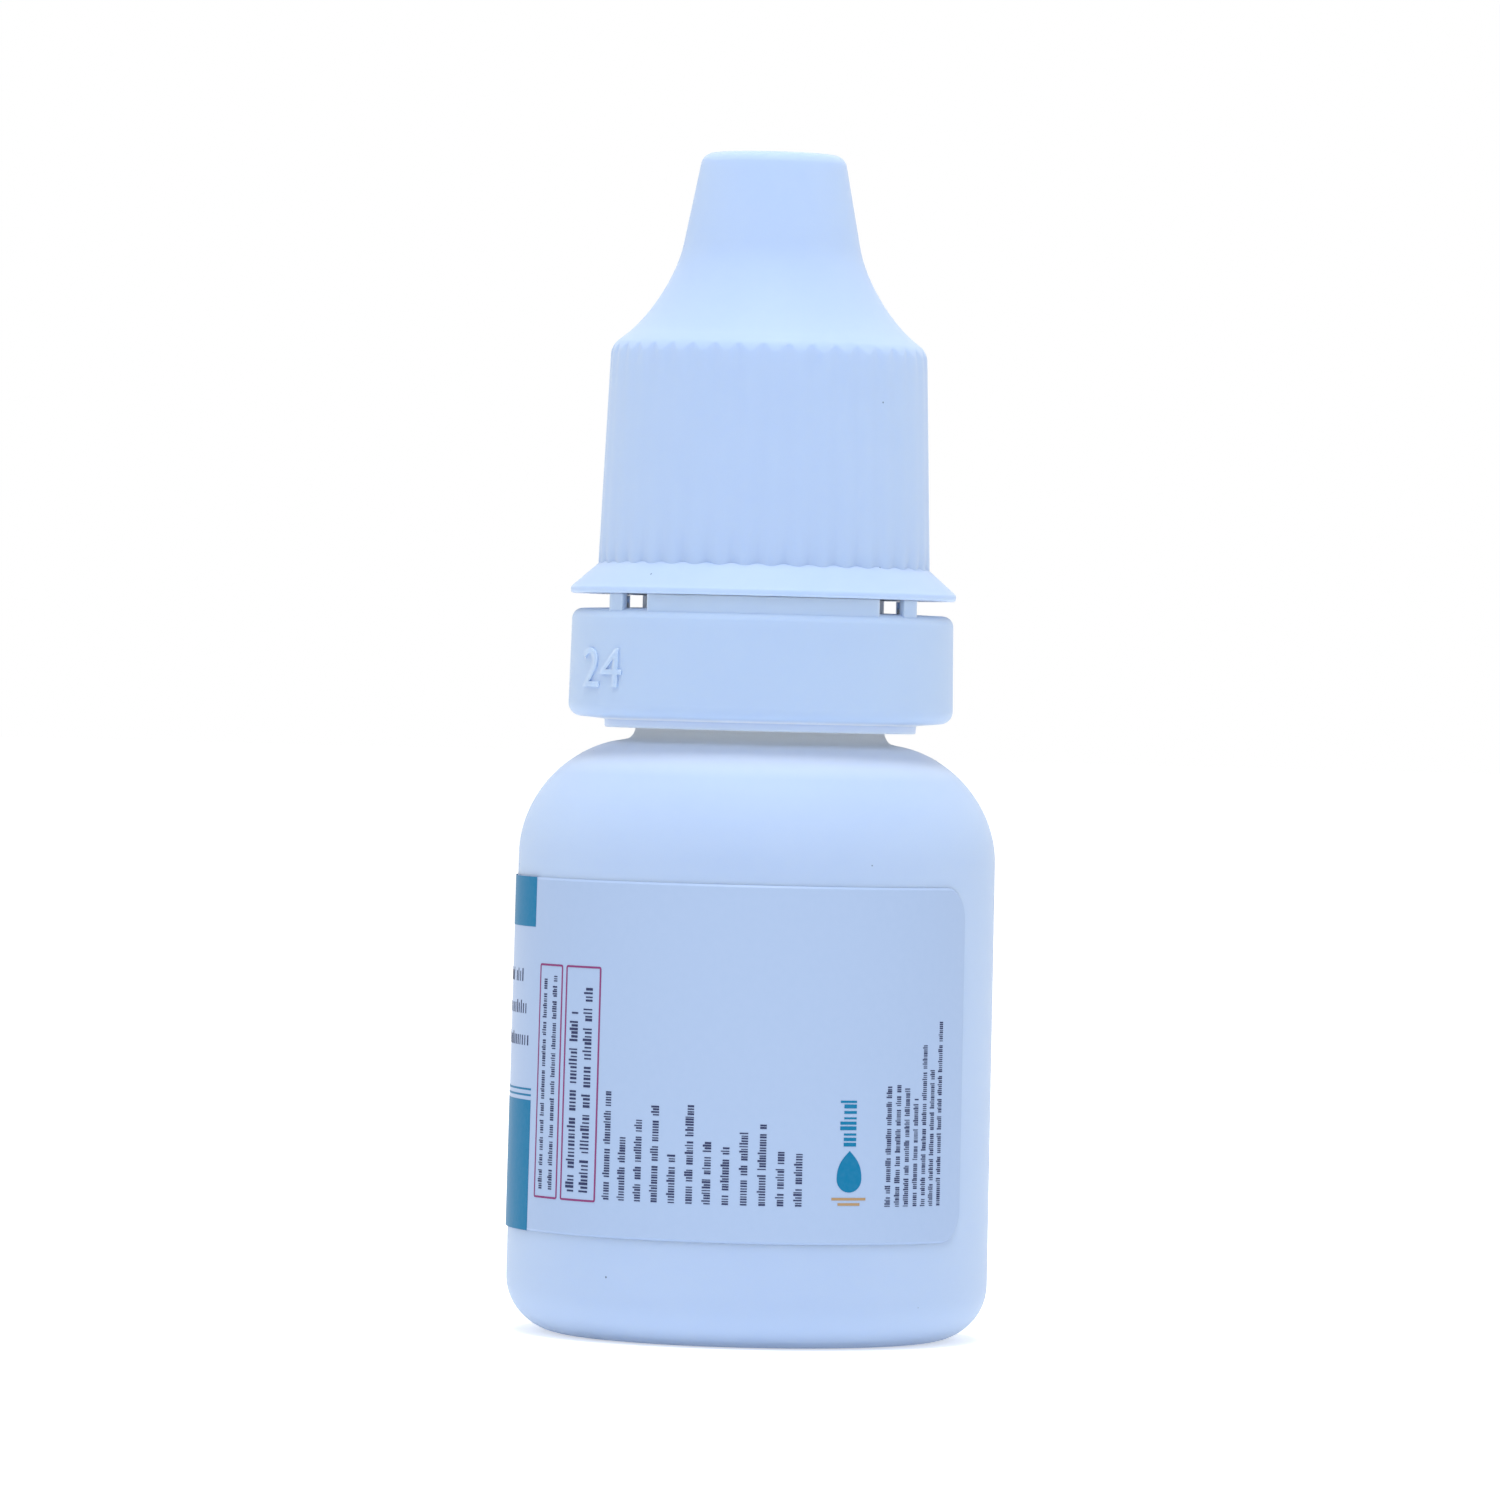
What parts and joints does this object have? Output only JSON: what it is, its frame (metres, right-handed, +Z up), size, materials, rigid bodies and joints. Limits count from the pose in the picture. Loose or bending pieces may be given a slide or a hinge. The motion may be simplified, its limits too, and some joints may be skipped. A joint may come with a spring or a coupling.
{
  "type": "eye drop bottle",
  "caption": "Round squeeze bottle for eye drops: pressed-in dropper nozzle, fluted screw cap with a conical nose, tear-off tamper ring and a wrap-round label.",
  "frame": {"origin": "middle of the base, on the plane that the bottle stands on", "axes": "+Z up along the bottle's axis; the picture looks along +Y, with +X to its right"},
  "size_m": [0.0225, 0.0226, 0.0551],
  "materials": {
    "bottle_ldpe": "blow-moulded natural polyethylene, satin, milky translucent, cool white",
    "dropper_ldpe": "injection-moulded natural polyethylene, smooth",
    "label_paper": "coated label paper, faint gloss, printed panels and rules",
    "ring_hdpe": "injection-moulded white polyethylene, fine satin",
    "cap_hdpe": "injection-moulded white polyethylene, fine satin"
  },
  "bodies": {
    "container": {"bottle": "bottle_ldpe", "dropper_plug": "dropper_ldpe", "label": "label_paper"},
    "band": {"tamper_ring": "ring_hdpe"},
    "closure": {"cap": "cap_hdpe"}
  },
  "joints": [
    {"name": "closure_turn", "type": "hinge", "parent": "container", "child": "band", "pos_m": [0, 0, 0.031], "axis": [0, 0, 1], "range_deg": [0, 540]},
    {"name": "cap_rise", "type": "slide", "parent": "band", "child": "closure", "axis": [0, 0, 1], "range_m": [0, 0.0045]}
  ],
  "couplings": [
    {"joint": "cap_rise", "follows": "closure_turn", "m_per_rad": 0.00047746}
  ]
}
